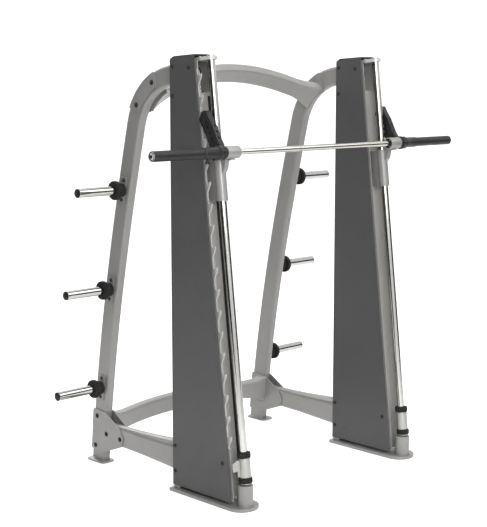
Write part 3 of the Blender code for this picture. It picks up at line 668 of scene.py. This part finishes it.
def horn(materials, level, name, side):
    """One storage horn: a bolted plate, a welded pipe with a cap, a collar and a rubber cushion."""
    here = horn_frame(level, name, side)
    tag = f"{level}_{name}"
    near, far = reach_of(f"bumper_{tag}")
    root, tip = reach_of(f"horn_{tag}")
    plate_thickness = 0.005
    bore = 0.0244

    cushion = Piece(f"cushion_{tag}", materials["rubber"], "frame", "rubber")
    cushion.lathe(ring_profile(0.050, bore, near, far, 0.006, 5), here, "X", loop=True, steps=64)
    cushion.emit(replaces=(f"bumper_{tag}",))

    pipe = Piece(f"horn_pipe_{tag}", materials["chrome"], "frame", "chrome")
    pipe_root = root + plate_thickness + 0.0002
    profile = [(0.020, tip - 0.012), (0.0225, tip), (0.024, tip - 0.0015), (0.024, pipe_root),
               (0.020, pipe_root)]
    pipe.lathe(profile, here, "X", loop=True, steps=64)
    pipe.emit(replaces=(f"horn_{tag}",))

    plate = Piece(f"horn_plate_{tag}", materials["silver_paint"], "frame", "silver_paint")
    outline = []
    for quarter, (u, v) in enumerate(((1, 1), (-1, 1), (-1, -1), (1, -1))):
        outline += arc((u * 0.016, v * 0.062), 0.008, 90 * quarter, 90 * quarter + 90, 5)
    plate.extrude(outline, root, root + plate_thickness, here)
    plate.emit(bevel=0.0008)

    collar = Piece(f"horn_collar_{tag}", materials["rubber"], "frame", "rubber")
    profile = ring_profile(0.036, bore, root + 0.0065, near - 0.0004, 0.003)
    collar.lathe(profile, here, "X", loop=True, steps=64)
    collar.emit()

    cap = Piece(f"horn_cap_{tag}", materials["nylon"], "frame", "nylon")
    plug = [(0.004, tip - 0.012), (0.0198, tip - 0.012), (0.0198, tip)]
    button = [(0.0236, tip + 0.0005), (0.0236, tip + 0.0035), (0.020, tip + 0.0065), (0.010, tip + 0.0080),
              (0.002, tip + 0.0083)]
    cap.lathe(plug + button, here, "X")
    cap.emit()

    weld = Piece(f"horn_weld_{tag}", materials["weld"], "frame", "silver_paint")
    weld.weld_ring(here, "X", root + 0.0058, 0.0252, 0.0022, 40)
    weld.emit(angle=80)

    bolts = Piece(f"horn_bolts_{tag}", materials["black_steel"], "frame", "black_steel")
    for shift in (-0.053, 0.053):
        spot = here @ Matrix.Translation((root + 0.0052, 0.0, shift)) @ turned(90, "Y")
        bolts.bolt(spot, 0.0075, 0.0105, 0.005)
    bolts.emit()


def horns(materials):
    for name, side in SIDES:
        for level in HORN_LEVELS:
            horn(materials, level, name, side)


def plate_bolts(materials):
    """Four bolts on each lower joint plate and two on the plate round the upright's bend."""
    spots = [(0.666, 0.257), (0.588, 0.168), (0.684, 0.088), (0.471, 0.161)]
    spots += [on_circle(BEND_CENTRE, BEND_BOLT_RADIUS, angle) for angle in BEND_BOLT_ANGLES]
    for name, side in SIDES:
        here = tower_frame(name, side)
        here.translation.x = 0.0
        face = reach_of(f"lower_joint_plate_{name}")[1]
        bolts = Piece(f"plate_bolts_{name}", materials["nylon"], "frame", "black_steel")
        for y, z in spots:
            bolts.bolt(here @ Matrix.Translation((face, y, z)) @ turned(90, "Y"), 0.0100, 0.0135, 0.0055)
        bolts.emit()


def cover_bolts(materials):
    """Bolts through both covers of each tower: four down the rear edge and two near the front edge."""
    for name, side in SIDES:
        low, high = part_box(f"outer_cover_{name}")
        here = tower_frame(name, side)
        half = abs(reach_of(f"outer_cover_{name}")[1] - abs(here.translation.x))
        front = rod_origin(name).y - high.y
        rear_levels = (high.z - 0.056, high.z - 0.20, low.z + 0.075, low.z + 0.208)
        spots = [(-0.018, height) for height in rear_levels]
        for height, inset in ((high.z - 0.062, 0.046), (low.z + 0.190, 0.040)):
            spots.append((front + height * math.tan(LEAN) + inset, height))
        bolts = Piece(f"cover_bolts_{name}", materials["nylon"], "frame", "black_steel")
        for y, z in spots:
            for face, turn in ((half, 90), (-half, -90)):
                spot = here @ Matrix.Translation((face, y, z)) @ turned(turn, "Y")
                bolts.bolt(spot, 0.0085, 0.0110, 0.0036)
        bolts.emit()


def lock_knob(materials):
    """The knob that hangs under the left sleeve's shoulder."""
    name, side = SIDES[0]
    along = reach_of(f"hook_arm_{name}")[1] + 0.092
    below = upright_matrix(middle_of("bar_shaft"), side) @ Matrix.Translation((along, 0.0, -0.0275))
    stem = [(0.004, -0.002), (0.0055, 0.0), (0.0055, 0.006)]
    head = [(0.010, 0.008), (0.011, 0.010), (0.011, 0.020), (0.0095, 0.0225), (0.004, 0.0235)]
    knob = Piece(f"lock_knob_{name}", materials["nylon"], "bar", "nylon")
    knob.lathe(stem + head, below @ turned(180, "X"), steps=32)
    knob.emit()


def post_welds(materials):
    """The bead that joins each round post to its base plate."""
    for name, side in SIDES:
        post = tower_frame(name, side) @ Matrix.Translation((0.0, -POST_FORWARD, 0.0))
        weld = Piece(f"post_weld_{name}", materials["weld"], "frame", "silver_paint")
        weld.weld_ring(post, "Z", POST_WELD_LEVEL, POST_WELD_RADIUS, 0.0026, 64)
        weld.emit(angle=80)


def wire_run(materials, label, name, foot, head):
    """A stranded cable from its moving foot to its head, which stays with the frame."""
    lay = 0.030
    length = (head - foot).length
    along = (head - foot).normalized()
    across = Vector((1, 0, 0))
    third = along.cross(across)
    count = max(8, int(length / 0.004))
    rings = []
    for k in range(count + 1):
        centre = foot.lerp(head, k / count)
        twist = math.tau * length * k / count / lay
        ring = []
        for j in range(12):
            angle = math.tau * j / 12
            reach = 0.0026 + 0.0004 * math.cos(6 * angle)
            spoke = across * math.cos(angle + twist) + third * math.sin(angle + twist)
            ring.append(centre + spoke * reach)
        rings.append(ring)
    run = Piece(f"wire_{label}_{name}", materials["bright_steel"], None, "bright_steel")
    run.rings(rings, Matrix.Identity(4))
    obj = run.emit(replaces=(f"cable_{label}_{name}",))
    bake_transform(obj)


def cables(materials):
    """In each tower a cable runs up from the carriage, over the pulley and down to the counterweight."""
    for name, _ in SIDES:
        pulley = middle_of(f"pulley_{name}")
        rear = middle_of(f"cable_rear_{name}")
        front_low, front_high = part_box(f"cable_front_{name}")
        rear_low, rear_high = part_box(f"cable_rear_{name}")
        foot = Vector((rear.x, front_low.y + 0.003, front_low.z + 0.001))
        head = foot + UP * ((front_high.z - front_low.z) / UP.z)
        wire_run(materials, "front", name, foot, head)
        foot = Vector((rear.x, rear.y, rear_low.z))
        head = Vector((rear.x, rear.y, rear_high.z))
        wire_run(materials, "rear", name, foot, head)
        radius = abs(rear.y - pulley.y)
        rings = []
        for k in range(25):
            angle = (math.pi + LEAN) * k / 24
            ring = []
            for x, y in circle(0.003, 10):
                out = radius + y
                ring.append((rear.x + x, pulley.y + out * math.cos(angle), pulley.z + out * math.sin(angle)))
            rings.append(ring)
        over = Piece(f"wire_over_{name}", materials["bright_steel"], "frame", "bright_steel")
        over.rings(rings, Matrix.Identity(4))
        over.emit(angle=60)


def counterweights(materials):
    """A stack of ten cast plates with cut corners, with a groove between each two."""
    plates = 10
    corner = 0.004
    for name, _ in SIDES:
        low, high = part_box(f"counterweight_{name}")
        centre = (low + high) / 2
        half = (high - low) / 2
        step = (high.z - low.z) / plates
        rings = []
        for k in range(plates):
            for inset, level in ((0.0025, 0.0), (0.0, 0.002), (0.0, step - 0.0025), (0.0025, step - 0.0005)):
                ring = []
                for x, y in ((1, 1), (-1, 1), (-1, -1), (1, -1)):
                    for cut in ((0, 1) if x * y > 0 else (1, 0)):
                        ring.append((
                            centre.x + x * (half.x - inset - cut * corner),
                            centre.y + y * (half.y - inset - (1 - cut) * corner),
                            low.z + k * step + level,
                        ))
                rings.append(ring)
        stack = Piece(f"weight_stack_{name}", materials["cast_iron"], f"balance_{name}", "cast_iron")
        stack.rings(rings, Matrix.Identity(4))
        stack.emit(replaces=(f"counterweight_{name}",))


def pulleys(materials):
    """A grooved nylon wheel with a thin web and a hub, turning on a steel axle."""
    bore = 0.0062
    groove = 0.0415
    hub_width = 0.012
    for name, _ in SIDES:
        here = Matrix.Translation(middle_of(f"pulley_{name}"))
        body = f"sheave_{name}"
        cheek = [(0.0145, hub_width), (0.0145, 0.008), (0.018, 0.0065), (0.036, 0.0065), (0.040, 0.009),
                 (0.049, 0.009), (0.050, 0.008), (0.0425, 0.0032)]
        profile = [(r, -along) for r, along in cheek] + [(groove, 0.0)] + cheek[::-1]
        profile += [(bore, hub_width), (bore, -hub_width)]
        wheel = Piece(f"sheave_wheel_{name}", materials["nylon"], body, "nylon")
        wheel.lathe(profile, here, "X", loop=True, steps=64)
        wheel.emit(replaces=(f"pulley_{name}",))
        axle = Piece(f"sheave_axle_{name}", materials["bright_steel"], body, "bright_steel")
        pin = [(0.004, -0.0395), (0.006, -0.0385), (0.006, 0.0385), (0.004, 0.0395)]
        axle.lathe(pin, here, "X", steps=24)
        axle.emit()


def painted_shade_strips(materials):
    """A dark strip of painted shade down the inner wall of each front channel, behind the rod, where the
    channel lies in deep shadow.
    """
    foot = 0.13
    head = 2.03
    outline = [(0.010, foot), (0.010, head), (0.038, head), (0.038, foot)]
    for name, side in SIDES:
        # Painted shade: a dark nylon strip put where the inside of the channel is only in shadow.
        strip = Piece(f"painted_shade_strip_{name}", materials["nylon"], "frame", "nylon")
        strip.extrude(outline, -0.0397, -0.0385, leaning(name, side))
        strip.emit(bevel=0.0003)


def top_plate_bolts(materials):
    """Two bolts on the plate that holds the top of each guide rod."""
    for name, side in SIDES:
        bolts = Piece(f"top_plate_bolts_{name}", materials["bright_steel"], "frame", "bright_steel")
        for out in (-0.030, 0.030):
            bolts.bolt(leaning(name, side, 2.2131, 0.006, out), 0.0060, 0.0085, 0.0030)
        bolts.emit()


make_camera()
make_floor()
make_light()
MATERIALS = make_materials()
dress_cad_nodes(MATERIALS)
for build in (guide_rods, bar, bearing_blocks, stops, horns, plate_bolts, cover_bolts, lock_knob, post_welds,
              cables, counterweights, pulleys, painted_shade_strips, top_plate_bolts):
    build(MATERIALS)
